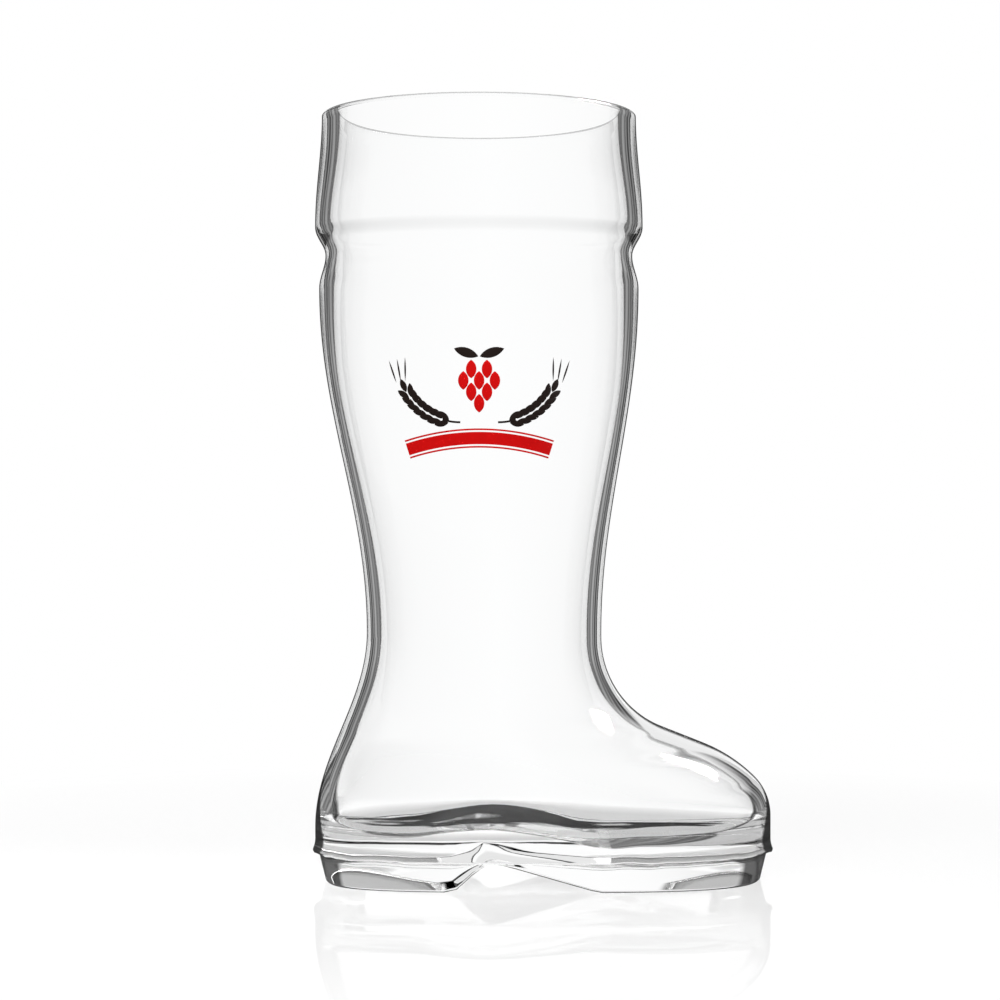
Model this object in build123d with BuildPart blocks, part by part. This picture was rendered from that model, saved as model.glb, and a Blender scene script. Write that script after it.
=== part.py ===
# Beer boot glass: a one-litre drinking glass in the shape of a riding boot, with a printed emblem.
# Millimetres, +Z up, toe along +X. The origin is on the table under the middle of the foot.
# The printed side faces -Y.
import os
from math import cos, pi, radians, sin, sqrt

from build123d import *

os.makedirs("parts", exist_ok=True)

# Driving dimensions, in millimetres and degrees

# Foot
foot_length = 140.0  # heel to toe
ball_width = 78.0  # across the widest part of the foot
ball_place = 0.58  # where along the foot that is, as a share from the heel
heel_fullness = 0.78  # how square the heel end is in plan, 0.55 for an ellipse
toe_fullness = 0.62  # the same for the toe end
toe_height = 19.5  # where the toe stands furthest out
toe_radius = 20.0  # round over the toe, seen from the side
vamp_slope = 21.5  # slope of the top of the foot
instep_radius = 30.0  # hollow where the foot meets the leg
heel_height = 16.0  # where the back of the heel stands furthest out

# Leg
ankle_rise = 1.5  # narrowest part of the leg, above the hollow of the instep
ankle_diameter = 72.2
ankle_place = -18.1  # middle of the ankle along the foot
calf_height = 181.0
calf_diameter = 98.3
calf_place = -19.7  # middle of the calf and the cuff along the foot

# Cuff
groove_height = 191.2
groove_diameter = 94.4
cuff_height = 199.8  # where the cuff is widest
cuff_diameter = 100.8
boot_height = 235.0
rim_diameter = 96.6

# Walls
wall = 4.2  # foot, ankle and cuff
leg_wall = 3.0  # where the leg is thinnest
leg_wall_height = 145.0
rim_wall = 5.0
lip_round = 1.2
floor_height = 12.5  # inside floor above the table, in front of the arch
heel_floor_height = 15.3  # the same behind the arch
floor_round = 8.5  # round where the floor meets the wall
hump_rise = 6.0  # the floor rises this much over the arch
hump_length = 58.0

# Sole
seam_height = 9.0
seam_fin = 0.7  # how far the seam stands out
seam_fin_height = 3.5
fin_clear = 2.0  # from the fin to the next outline above it
sole_inset = 1.0  # step in from the foot to the sole, under the seam
sole_taper = 2.4  # the sole is this much smaller all round at the table
sole_squareness = 0.1  # its ends are squarer in plan there
sole_round = 0.8
arch_place = -16.0  # top of the arch along the foot
arch_top = 3.0  # width of the arch where it meets the seam
heel_breast = 9.3  # run of the slope at the front of the heel
heel_breast_round = 6.0
sole_slope = 30.5  # run of the slope at the back of the front sole
sole_slope_round = 20.0

# Print
print_thickness = 0.15
print_height = 145.0  # middle of the emblem
bract_length = 5.4  # one scale of the hop cone
bract_width = 3.1
bract_step = 2.3  # sideways from scale to scale
bract_drop = 3.3  # down from row to row
hop_top = 9.2  # middle of the top row, above the middle of the emblem
leaf_length = 7.5
leaf_width = 2.8
leaf_angle = 18.0
leaf_gap = 0.7  # middle of a leaf above the hop cone, beyond half its width
ear_across = 5.5  # foot of the right-hand ear, from the middle of the emblem
ear_drop = 6.2
ear_radius = 18.3
ear_sweep = 66.0
ear_stem = 0.25  # share of the ear that is bare stem
stem_width = 0.6
grain_length = 4.2
grain_width = 1.8
grain_pairs = 7
grain_spread = 1.2  # middle of a grain from the stem
grain_angle = 24.0
awn_start = 1.22  # middle of an awn, as a share of the ear
awn_length = 7.0
awn_width = 0.5
awn_spread = 1.9
awn_angle = 9.0
ribbon_radius = 70.0
ribbon_drop = 10.8  # middle of the ribbon, below the middle of the emblem
ribbon_sweep = 35.0
ribbon_width = 3.6
ribbon_line = 0.5  # fine line along each side of the ribbon
ribbon_gap = 0.5

ROUND = 0.5523  # handle length that makes four curves into a circle
STEPS = 6  # outlines along each stretch of the side view


def ease(share):
    """Goes from 0 to 1 with level ends."""
    return (1 - cos(pi * min(max(share, 0), 1))) / 2


def between(height, low, high, at_low, at_high):
    """A size that eases from one height to another."""
    return at_low + (at_high - at_low) * ease((height - low) / (high - low))


# Side view of the top of the foot: a hollow, a straight slope and a round toe

slope = radians(vamp_slope)
slope_turn = pi / 2 - slope
ankle_back = ankle_place - ankle_diameter / 2
ankle_front = ankle_place + ankle_diameter / 2
toe_end = foot_length / 2
toe_middle = toe_end - toe_radius
vamp_reach = toe_middle * sin(slope) + toe_height * cos(slope) + toe_radius
instep_middle = ankle_front + instep_radius
instep_height = (vamp_reach + instep_radius - instep_middle * sin(slope)) / cos(slope)
ankle_height = instep_height + ankle_rise


def leg_radius(height):
    """Outside radius of the leg and the cuff."""
    if height > cuff_height:
        return between(height, cuff_height, boot_height, cuff_diameter, rim_diameter) / 2
    if height > groove_height:
        return between(height, groove_height, cuff_height, groove_diameter, cuff_diameter) / 2
    if height > calf_height:
        return between(height, calf_height, groove_height, calf_diameter, groove_diameter) / 2
    return between(height, ankle_height, calf_height, ankle_diameter, calf_diameter) / 2


def leg_place(height):
    """Middle of the leg along the foot."""
    return between(height, ankle_height, calf_height, ankle_place, calf_place)


def front_edge(height, depth):
    """How far forward the side view reaches, at a depth under the surface."""
    if height >= instep_height:
        return leg_place(height) + leg_radius(height) - depth
    hollow = instep_radius + depth
    if height >= instep_height - hollow * cos(slope):
        return instep_middle - sqrt(hollow**2 - (instep_height - height) ** 2)
    bulge = toe_radius - depth
    if height >= toe_height + bulge * cos(slope):
        return (vamp_reach - depth - height * cos(slope)) / sin(slope)
    if height >= toe_height:
        return toe_middle + sqrt(bulge**2 - (height - toe_height) ** 2)
    return toe_end - depth


def back_edge(height, depth):
    """How far back the side view reaches, at a depth under the surface."""
    if height >= ankle_height:
        return leg_place(height) - leg_radius(height) + depth
    return between(height, heel_height, ankle_height, -toe_end, ankle_back) + depth


def outline(height, depth=0, inset=0, squareness=0):
    """Plan outline at a height, at a depth under the surface, drawn in by an inset, with squarer ends."""
    back = back_edge(height, depth) + inset
    front = front_edge(height, depth) - inset
    half_width = leg_radius(height) - depth - inset
    reach = between(height, toe_height, ankle_height, 1, 0)  # 1 on the foot and 0 on the leg
    half_width += (ball_width - ankle_diameter) / 2 * reach
    middle = back + (front - back) * (0.5 + (ball_place - 0.5) * reach)
    heel_handle = ROUND + (heel_fullness + squareness - ROUND) * reach
    toe_handle = ROUND + (toe_fullness + squareness - ROUND) * reach
    toe_side = middle + (front - middle) * toe_handle
    heel_side = middle + (back - middle) * heel_handle
    toe_wide = half_width * toe_handle
    heel_wide = half_width * heel_handle
    with BuildSketch(Plane.XY.offset(height)) as section:
        with BuildLine():
            Bezier((front, 0), (front, toe_wide), (toe_side, half_width), (middle, half_width))
            Bezier((middle, half_width), (heel_side, half_width), (back, heel_wide), (back, 0))
            Bezier((back, 0), (back, -heel_wide), (heel_side, -half_width), (middle, -half_width))
            Bezier((middle, -half_width), (toe_side, -half_width), (front, -toe_wide), (front, 0))
        make_face()
    return section.sketch


def wall_at(height):
    """Thickness of the wall."""
    if height > cuff_height:
        return between(height, cuff_height, boot_height, wall, rim_wall)
    if height > leg_wall_height:
        return between(height, leg_wall_height, groove_height, leg_wall, wall)
    return between(height, ankle_height, leg_wall_height, wall, leg_wall)


def steps_between(high, low, count):
    """Even heights from one to another, with both ends."""
    return [high + (low - high) * step / count for step in range(count + 1)]


leg_heights = steps_between(calf_height, ankle_height, 2 * STEPS)
groove_heights = steps_between(cuff_height, groove_height, STEPS)
cuff_heights = steps_between(boot_height, cuff_height, STEPS)[:-1] + groove_heights
cuff_heights += steps_between(groove_height, calf_height, STEPS)[1:]


def foot_heights(depth, lowest):
    """Heights for the outlines of the foot, closer together where the side view bends."""
    hollow = instep_radius + depth
    bulge = toe_radius - depth
    vamp_top = instep_height - hollow * cos(slope)
    vamp_end = toe_height + bulge * cos(slope)
    heights = steps_between(ankle_height, instep_height, 2)[:-1]
    heights += [instep_height - hollow * sin(slope_turn * step / STEPS) for step in range(STEPS)]
    heights += steps_between(vamp_top, vamp_end, 3)[:-1]
    heights += [toe_height + bulge * sin(slope_turn * step / STEPS) for step in range(STEPS, 0, -1)]
    return [height for height in heights if height > lowest]


# Upper: the hollow glass from the rim down to the seam

fin_top = seam_height + seam_fin_height
foot_outside = [outline(height) for height in foot_heights(0, fin_top + fin_clear)]
for step in range(4):
    share = step / 3
    foot_outside.append(outline(fin_top - seam_fin_height * share, inset=-seam_fin * share**2))

with BuildPart() as leg_shape:
    loft(sections=[outline(height) for height in leg_heights])

with BuildPart() as boot_shape:
    add(leg_shape.part)
    loft(sections=[outline(height) for height in cuff_heights])
    loft(sections=foot_outside)

foot_inside = [outline(height, wall) for height in foot_heights(wall, floor_height + floor_round)]
for step in range(STEPS + 1):
    turn = pi / 2 * step / STEPS
    height = floor_height + floor_round * (1 - sin(turn))
    foot_inside.append(outline(height, wall, floor_round * (1 - cos(turn))))
hump_radius = ((hump_length / 2) ** 2 + hump_rise**2) / (2 * hump_rise)

with BuildPart() as hollow_shape:
    loft(sections=[outline(height, wall_at(height)) for height in leg_heights])
    loft(sections=[outline(height, wall_at(height)) for height in cuff_heights])
    loft(sections=foot_inside)
    # The floor is higher behind the arch, and rises in a low round over it
    with BuildSketch(Plane.XZ):
        with Locations((arch_place, floor_height + hump_rise - hump_radius)):
            Circle(hump_radius)
        with Locations((arch_place, heel_floor_height)):
            Rectangle(foot_length, foot_length, align=(Align.MAX, Align.MAX))
    extrude(amount=foot_length, both=True, mode=Mode.SUBTRACT)

with BuildPart() as glass_upper:
    add(boot_shape.part)
    add(hollow_shape.part, mode=Mode.SUBTRACT)
    fillet(glass_upper.edges().group_by(Axis.Z)[-1], lip_round)

# Sole: the heel and the front sole under the seam, with the arch between them

breast_top = arch_place - arch_top / 2
slope_top = arch_place + arch_top / 2
sole_outlines = [
    outline(seam_height, inset=sole_inset),
    outline(0, inset=sole_inset + sole_taper, squareness=sole_squareness),
]


def sole_pad(end, top, foot, corner_round):
    """The part of the sole from one end of the boot to a slope at the arch."""
    with BuildPart() as pad:
        loft(sections=sole_outlines, ruled=True)
        with BuildSketch(Plane.XZ) as side:
            with BuildLine():
                Polyline((end, 0), (foot, 0), (top, seam_height), (end, seam_height), close=True)
            make_face()
            corner = side.vertices().group_by(Axis.Y)[0].sort_by_distance((foot, 0))[0]
            fillet(corner, corner_round)
        extrude(amount=foot_length, both=True, mode=Mode.INTERSECT)
        lower_edges = pad.edges().filter_by(GeomType.BSPLINE)
        fillet(lower_edges.filter_by_position(Axis.Z, 0, seam_height * 0.9), sole_round)
    return pad


glass_heel = sole_pad(-foot_length, breast_top, breast_top - heel_breast, heel_breast_round)
glass_sole = sole_pad(foot_length, slope_top, slope_top + sole_slope, sole_slope_round)

# Print: a red hop cone over a ribbon, between two dark ears of barley


def pointed_oval(length, width):
    """A grain, a leaf or a scale, long along X."""
    radius = (length**2 + width**2) / (4 * width)
    with BuildSketch() as shape:
        with Locations((0, radius - width / 2)):
            Circle(radius)
        with Locations((0, width / 2 - radius)):
            Circle(radius, mode=Mode.INTERSECT)
    return shape.sketch


def ribbon_band(radius, width):
    """A stretch of a ring about the ribbon's centre."""
    with BuildSketch() as band:
        with BuildLine():
            CenterArc((0, -ribbon_drop - ribbon_radius), radius, 90 - ribbon_sweep / 2, ribbon_sweep)
        trace(line_width=width)
    return band.sketch


def ear_location(along, aside, tilt):
    """A place beside the stem of the right-hand ear, turned with the stem and then by a tilt."""
    turn = ear_sweep * along
    reach = ear_radius - aside
    across = ear_across + reach * sin(radians(turn))
    up = ear_radius - ear_drop - reach * cos(radians(turn))
    return Location((across, up, 0), (0, 0, turn + tilt))


def ear_of_barley():
    """The right-hand ear: stem, grains in pairs, a grain at the tip and three awns."""
    grain = pointed_oval(grain_length, grain_width)
    grain_places = [ear_location(1, 0, 0)]
    for pair in range(grain_pairs):
        along = ear_stem + (1 - ear_stem) * pair / grain_pairs
        grain_places.append(ear_location(along, grain_spread, grain_angle))
        grain_places.append(ear_location(along, -grain_spread, -grain_angle))
    with BuildSketch() as ear:
        with BuildLine():
            CenterArc((ear_across, ear_radius - ear_drop), ear_radius, -90, ear_sweep * ear_stem)
        trace(line_width=stem_width)
        with Locations(*grain_places):
            add(grain)
        with Locations(*[ear_location(awn_start, fan * awn_spread, fan * awn_angle) for fan in (-1, 0, 1)]):
            add(pointed_oval(awn_length, awn_width))
    return ear.sketch


print_plane = Plane((leg_place(print_height), 0, print_height), x_dir=(1, 0, 0), z_dir=(0, -1, 0))

with BuildPart() as print_skin:
    loft(sections=[outline(height, inset=-print_thickness) for height in leg_heights])
    add(leg_shape.part, mode=Mode.SUBTRACT)

bract_places = []
for row, columns in enumerate(((-1, 1), (-2, 0, 2), (-1, 1), (0,))):
    for column in columns:
        bract_places.append(Location((column * bract_step, hop_top - row * bract_drop, 0), (0, 0, 90)))
line_step = (ribbon_width + ribbon_line) / 2 + ribbon_gap

with BuildPart() as red_print:
    with BuildSketch(print_plane):
        with Locations(*bract_places):
            add(pointed_oval(bract_length, bract_width))
        add(ribbon_band(ribbon_radius, ribbon_width))
        add(ribbon_band(ribbon_radius + line_step, ribbon_line))
        add(ribbon_band(ribbon_radius - line_step, ribbon_line))
    extrude(amount=cuff_diameter)
    add(print_skin.part, mode=Mode.INTERSECT)

leaf_up = hop_top + (bract_length + leaf_width) / 2 + leaf_gap

with BuildPart() as dark_print:
    with BuildSketch(print_plane):
        add(ear_of_barley())
        with Locations(Location((leaf_length / 2, leaf_up, 0), (0, 0, leaf_angle))):
            add(pointed_oval(leaf_length, leaf_width))
        mirror(about=Plane.YZ)
    extrude(amount=cuff_diameter)
    add(print_skin.part, mode=Mode.INTERSECT)

# Files, one for each piece

glass_upper.part.label = "glass_upper"
glass_heel.part.label = "glass_heel"
glass_sole.part.label = "glass_sole"
red_print.part.label = "red_print"
dark_print.part.label = "dark_print"
export_step(glass_upper.part, "parts/glass_upper.step")
export_step(glass_heel.part, "parts/glass_heel.step")
export_step(glass_sole.part, "parts/glass_sole.step")
export_step(red_print.part, "parts/red_print.step")
export_step(dark_print.part, "parts/dark_print.step")
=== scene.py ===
"""A clear glass drinking boot with a printed hop and barley emblem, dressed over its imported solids."""

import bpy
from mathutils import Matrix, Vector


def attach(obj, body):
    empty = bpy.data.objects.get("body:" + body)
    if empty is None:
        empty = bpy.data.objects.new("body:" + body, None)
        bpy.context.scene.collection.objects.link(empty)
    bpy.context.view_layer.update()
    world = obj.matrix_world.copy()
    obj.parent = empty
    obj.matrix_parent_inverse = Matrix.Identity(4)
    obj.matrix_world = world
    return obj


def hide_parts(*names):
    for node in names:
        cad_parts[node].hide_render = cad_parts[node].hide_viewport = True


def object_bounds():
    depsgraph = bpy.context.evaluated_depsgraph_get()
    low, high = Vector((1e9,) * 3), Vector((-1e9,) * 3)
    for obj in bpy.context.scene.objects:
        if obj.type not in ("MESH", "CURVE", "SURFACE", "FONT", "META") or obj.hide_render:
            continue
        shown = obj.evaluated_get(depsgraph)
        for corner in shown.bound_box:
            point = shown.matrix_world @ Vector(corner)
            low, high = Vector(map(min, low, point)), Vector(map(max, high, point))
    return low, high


bl_info = {
    "name": "Beer Boot Glass",
    "version": (1, 0, 0),
    "blender": (4, 5, 0),
    "location": "View3D > Sidebar > Boot Glass",
    "description": "Builds a hollow glass boot, its two-colour print and a white studio round it",
    "category": "Add Mesh",
}

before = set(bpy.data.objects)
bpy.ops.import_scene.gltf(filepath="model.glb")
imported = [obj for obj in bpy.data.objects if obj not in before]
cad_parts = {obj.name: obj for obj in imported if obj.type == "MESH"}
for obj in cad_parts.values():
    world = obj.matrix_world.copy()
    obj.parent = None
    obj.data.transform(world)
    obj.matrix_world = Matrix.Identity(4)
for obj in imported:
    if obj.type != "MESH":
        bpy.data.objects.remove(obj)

from math import cos, pi, radians

import bpy
from bpy.props import FloatProperty, FloatVectorProperty, IntProperty, PointerProperty
from mathutils import Vector

cad_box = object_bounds()
boot_top = cad_box[1].z


# Sizes and colours


def length(name, default, description):
    """A property for a length in metres."""
    return FloatProperty(name=name, description=description, default=default, unit="LENGTH", precision=5)


def angle(name, default, description):
    """A property for an angle, given here in degrees."""
    return FloatProperty(name=name, description=description, default=radians(default), subtype="ANGLE")


def share(name, default, description):
    """A property for a share or a plain ratio."""
    return FloatProperty(name=name, description=description, default=default)


def colour(name, default, description):
    """A property for a colour."""
    return FloatVectorProperty(
        name=name, description=description, default=default, subtype="COLOR", min=0, max=1
    )


class BootGlassSizes(bpy.types.PropertyGroup):
    """Sizes of the glass. The solids have the same, without the blends, waves, dip and top of the toe."""

    foot_length: length("Foot length", 0.140, "Heel to toe")
    ball_width: length("Ball width", 0.078, "Across the widest part of the foot")
    ball_place: share("Ball place", 0.58, "Where the foot is widest, as a share of its length from the heel")
    heel_fullness: share("Heel fullness", 0.78, "How square the heel is in plan, 0.55 for an ellipse")
    toe_fullness: share("Toe fullness", 0.62, "How square the toe is in plan, 0.55 for an ellipse")
    toe_height: length("Toe height", 0.0195, "Where the toe stands furthest out")
    toe_radius: length("Toe radius", 0.020, "Round over the toe, seen from the side")
    toe_top_radius: length("Toe top radius", 0.045, "Gentler rounding from the vamp to the toe")
    vamp_slope: angle("Vamp slope", 21.5, "Slope of the top of the foot")
    instep_radius: length("Instep radius", 0.030, "Hollow where the foot meets the leg")
    heel_height: length("Heel height", 0.016, "Where the back of the heel stands furthest out")
    ankle_rise: length("Ankle rise", 0.0015, "Narrowest place of the leg, above the hollow of the instep")
    ankle_diameter: length("Ankle diameter", 0.0722, "Outside, at the narrowest place")
    ankle_place: length("Ankle place", -0.0181, "Middle of the ankle along the foot")
    calf_height: length("Calf height", 0.181, "The widest place under the groove")
    calf_diameter: length("Calf diameter", 0.0983, "Outside, under the groove")
    calf_place: length("Calf place", -0.0197, "Middle of the calf and the cuff along the foot")
    groove_height: length("Groove height", 0.1912, "Groove under the cuff")
    groove_diameter: length("Groove diameter", 0.0944, "Outside, in the groove")
    cuff_height: length("Cuff height", 0.1998, "Where the cuff is widest")
    cuff_diameter: length("Cuff diameter", 0.1008, "Outside, where the cuff is widest")
    boot_height: length("Boot height", boot_top, "From the table to the rim")
    rim_diameter: length("Rim diameter", 0.0966, "Outside, at the rim")
    wall: length("Wall", 0.0042, "Thickness of the foot, the ankle and the cuff")
    leg_wall: length("Leg wall", 0.003, "Thickness half way up the leg")
    leg_wall_height: length("Leg wall height", 0.145, "Where the leg is thinnest")
    groove_dip: length("Groove dip", 0.0009, "How much thinner the wall is in the groove")
    rim_wall: length("Rim wall", 0.005, "Thickness at the rim")
    lip_round: length("Lip round", 0.0012, "Height of the round over the rim")
    floor_height: length("Floor height", 0.0125, "Inside floor above the table, in front of the arch")
    heel_floor_height: length("Heel floor height", 0.0153, "Inside floor above the table, behind the arch")
    floor_round: length("Floor round", 0.0085, "Round where the floor meets the wall")
    hump_rise: length("Hump rise", 0.006, "How much the floor rises over the arch")
    hump_length: length("Hump length", 0.058, "Length of that rise along the foot")
    hump_blend: length("Hump blend", 0.004, "How softly the rise meets the floor and the wall")
    seam_height: length("Seam height", 0.009, "Seam between the upper and the sole")
    seam_fin: length("Seam fin", 0.0007, "How far the seam stands out")
    seam_fin_height: length("Seam fin height", 0.0035, "Height over which the foot flares to the seam")
    sole_inset: length("Sole inset", 0.001, "Step in from the foot to the sole")
    sole_taper: length("Sole taper", 0.0024, "How much smaller the sole is at the table")
    sole_squareness: share("Sole squareness", 0.1, "How much squarer its ends are in plan at the table")
    sole_round: length("Sole round", 0.0008, "Round along the edge of the sole")
    arch_place: length("Arch place", -0.016, "Top of the arch along the foot")
    arch_top: length("Arch top", 0.003, "Width of the arch at the seam")
    heel_breast: length("Heel breast", 0.0093, "Run of the slope at the front of the heel")
    sole_slope: length("Sole slope", 0.0305, "Run of the slope at the back of the front sole")
    heel_blend: length("Heel blend", 0.0024, "How softly the heel's slope meets the table")
    sole_blend: length("Sole blend", 0.0007, "How softly the front sole's slope meets the table")
    waver: length("Waver", 0.00003, "How far the inside of the wall wanders from an even thickness")
    floor_waver: length("Floor waver", 0.0018, "Waves of the inside floor")
    seam_waver: length("Seam waver", 0.0007, "Unevenness of the seam")


class BootPrintSizes(bpy.types.PropertyGroup):
    """Sizes of the emblem, the same as the solids have."""

    print_thickness: length("Print thickness", 0.00015, "Enamel outside the glass")
    print_height: length("Print height", 0.145, "Middle of the emblem above the table")
    bract_length: length("Scale length", 0.0054, "One scale of the hop cone")
    bract_width: length("Scale width", 0.0031, "One scale of the hop cone")
    bract_step: length("Scale step", 0.0023, "Sideways from scale to scale")
    bract_drop: length("Scale drop", 0.0033, "Down from row to row")
    hop_top: length("Hop top", 0.0092, "Middle of the top row above the middle of the emblem")
    leaf_length: length("Leaf length", 0.0075, "One of the two leaves")
    leaf_width: length("Leaf width", 0.0028, "One of the two leaves")
    leaf_angle: angle("Leaf angle", 18.0, "How far the leaves point up")
    leaf_gap: length("Leaf gap", 0.0007, "Leaf above the hop cone")
    ear_across: length("Ear across", 0.0055, "Foot of an ear from the middle of the emblem")
    ear_drop: length("Ear drop", 0.0062, "Foot of an ear below the middle of the emblem")
    ear_radius: length("Ear radius", 0.0183, "Bend of an ear")
    ear_sweep: angle("Ear sweep", 66.0, "How far an ear bends")
    ear_stem: share("Ear stem", 0.25, "Share of an ear that is bare stem")
    stem_width: length("Stem width", 0.0006, "Width of the bare stem")
    grain_length: length("Grain length", 0.0042, "One grain")
    grain_width: length("Grain width", 0.0018, "One grain")
    grain_spread: length("Grain spread", 0.0012, "Middle of a grain from the stem")
    grain_angle: angle("Grain angle", 24.0, "How far a grain leans out")
    grain_pairs: IntProperty(name="Grain pairs", description="Pairs of grains on each ear", default=7, min=1)
    awn_length: length("Awn length", 0.007, "One bristle at the tip")
    awn_width: length("Awn width", 0.0005, "One bristle at the tip")
    awn_spread: length("Awn spread", 0.0019, "Middle of an outer bristle from the middle one")
    awn_angle: angle("Awn angle", 9.0, "How far an outer bristle leans out")
    awn_place: share("Awn place", 1.22, "Middle of the bristles along the ear, beyond its tip")
    ribbon_radius: length("Ribbon radius", 0.070, "Bend of the ribbon")
    ribbon_drop: length("Ribbon drop", 0.0108, "Ribbon below the middle of the emblem")
    ribbon_sweep: angle("Ribbon sweep", 35.0, "How far the ribbon bends")
    ribbon_width: length("Ribbon width", 0.0036, "The broad band")
    ribbon_line: length("Ribbon line", 0.0005, "The fine line along each side")
    ribbon_gap: length("Ribbon gap", 0.0005, "Between the band and a line")


class BootColours(bpy.types.PropertyGroup):
    """Colours of the glass, the print and the studio."""

    glass: colour("Glass", (0.997, 0.998, 0.998), "Clear glass")
    red_enamel: colour("Red enamel", (0.455, 0.003, 0.003), "Cone and ribbon")
    dark_enamel: colour("Dark enamel", (0.010, 0.006, 0.005), "Ears and leaves")
    studio: colour("Studio", (1.0, 1.0, 1.0), "Floor and background")


# Arithmetic that a node tree does at every point


class Field:
    """A number that a node tree works out at every point. Arithmetic on it adds math nodes."""

    def __init__(self, tree, socket):
        self.tree = tree
        self.socket = socket

    def math(self, operation, *others):
        return math_node(self.tree, operation, self, *others)

    def __add__(self, other):
        return self.math("ADD", other)

    def __sub__(self, other):
        return self.math("SUBTRACT", other)

    def __mul__(self, other):
        return self.math("MULTIPLY", other)

    def __truediv__(self, other):
        return self.math("DIVIDE", other)

    def __radd__(self, other):
        return self + other

    def __rsub__(self, other):
        return math_node(self.tree, "SUBTRACT", other, self)

    def __rmul__(self, other):
        return self * other

    def __neg__(self):
        return self * -1


def put(tree, value, socket):
    """Joins a field to a socket, or sets a plain value on it."""
    if isinstance(value, Field):
        tree.links.new(value.socket, socket)
    else:
        socket.default_value = value


def math_node(tree, operation, *values):
    node = tree.nodes.new("ShaderNodeMath")
    node.operation = operation
    for value, socket in zip(values, node.inputs):
        put(tree, value, socket)
    return Field(tree, node.outputs[0])


def square(field):
    return field * field


def root(field):
    return field.math("SQRT")


def sine(field):
    return field.math("SINE")


def cosine(field):
    return field.math("COSINE")


def ramp(field, low, high):
    """Goes from 0 to 1 as a field goes from low to high, and stays there."""
    node = field.tree.nodes.new("ShaderNodeMapRange")
    for value, name in ((field, "Value"), (low, "From Min"), (high, "From Max")):
        put(field.tree, value, node.inputs[name])
    return Field(field.tree, node.outputs["Result"])


def choose(test, yes, no):
    """One field where the test is 1, and another where it is 0."""
    node = test.tree.nodes.new("GeometryNodeSwitch")
    node.input_type = "FLOAT"
    for value, name in ((test, "Switch"), (yes, "True"), (no, "False")):
        put(test.tree, value, node.inputs[name])
    return Field(test.tree, node.outputs["Output"])


def combine(tree, across, deep, up):
    """A vector socket of three numbers."""
    node = tree.nodes.new("ShaderNodeCombineXYZ")
    for value, socket in zip((across, deep, up), node.inputs):
        put(tree, value, socket)
    return node.outputs[0]


def parts_of(tree, vector):
    """The three numbers of a vector socket."""
    node = tree.nodes.new("ShaderNodeSeparateXYZ")
    tree.links.new(vector, node.inputs[0])
    return [Field(tree, socket) for socket in node.outputs]


def noise_at(tree, place, scale, detail):
    """Noise at a place, from 0 to 1."""
    noise = tree.nodes.new("ShaderNodeTexNoise")
    noise.inputs["Scale"].default_value = scale
    noise.inputs["Detail"].default_value = detail
    tree.links.new(place, noise.inputs["Vector"])
    return Field(tree, noise.outputs[0])


# Node trees


class Sizes:
    """The sizes of property groups as the inputs of a node tree."""

    def __init__(self, tree, *groups):
        entry = tree.nodes.new("NodeGroupInput")
        for group in groups:
            for key in group.__annotations__:
                entry_property = group.bl_rna.properties[key]
                kind = "NodeSocketInt" if entry_property.type == "INT" else "NodeSocketFloat"
                tree.interface.new_socket(entry_property.name, in_out="INPUT", socket_type=kind)
                setattr(self, key, Field(tree, entry.outputs[entry_property.name]))


def new_tree(name):
    """An empty tree with a place for its result."""
    tree = bpy.data.node_groups.new(name, "GeometryNodeTree")
    tree.interface.new_socket("Geometry", in_out="OUTPUT", socket_type="NodeSocketGeometry")
    return tree


def add_node(tree, kind, geometry=None, **values):
    """A node with its inputs set by name, and its first one joined to a geometry if there is one."""
    node = tree.nodes.new(kind)
    if geometry is not None:
        tree.links.new(geometry, node.inputs[0])
    for key, value in values.items():
        socket = node.inputs[key.replace("_", " ").title()]
        if isinstance(value, bpy.types.NodeSocket):
            tree.links.new(value, socket)
        else:
            put(tree, value, socket)
    return node


def moved(tree, mesh, across, deep, up):
    """A mesh with each point moved to a new place."""
    node = add_node(tree, "GeometryNodeSetPosition", mesh, position=combine(tree, across, deep, up))
    return node.outputs["Geometry"]


def position_of(tree):
    return parts_of(tree, tree.nodes.new("GeometryNodeInputPosition").outputs[0])


def joined(tree, *meshes):
    node = tree.nodes.new("GeometryNodeJoinGeometry")
    for mesh in meshes:
        tree.links.new(mesh, node.inputs[0])
    return node.outputs[0]


def close_tree(tree, mesh, material, smooth):
    """Ends a tree with plain geometry, smooth or flat, in one material."""
    plain = add_node(tree, "GeometryNodeRealizeInstances", mesh).outputs[0]
    shaded = add_node(tree, "GeometryNodeSetShadeSmooth", plain, shade_smooth=smooth).outputs[0]
    node = add_node(tree, "GeometryNodeSetMaterial", shaded)
    node.inputs["Material"].default_value = material
    tree.links.new(node.outputs[0], tree.nodes.new("NodeGroupOutput").inputs[0])


def finished_piece(name, tree, *groups):
    """Runs a tree with the sizes of property groups and keeps its result as a plain mesh."""
    piece = bpy.data.objects.new(name, bpy.data.meshes.new(name))
    bpy.context.scene.collection.objects.link(piece)
    modifier = piece.modifiers.new("Shape", "NODES")
    modifier.node_group = tree
    values = {}
    for group in groups:
        for key in type(group).__annotations__:
            values[group.bl_rna.properties[key].name] = getattr(group, key)
    for item in tree.interface.items_tree:
        if item.in_out == "INPUT":
            modifier[item.identifier] = values[item.name]
    graph = bpy.context.evaluated_depsgraph_get()
    mesh = bpy.data.meshes.new_from_object(piece.evaluated_get(graph))
    piece.modifiers.remove(modifier)
    piece.data = mesh
    mesh.name = name
    if len(mesh.polygons) == 0:
        raise RuntimeError(f"{name} came out empty")
    return piece


# Shape of the boot, in fields

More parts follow.
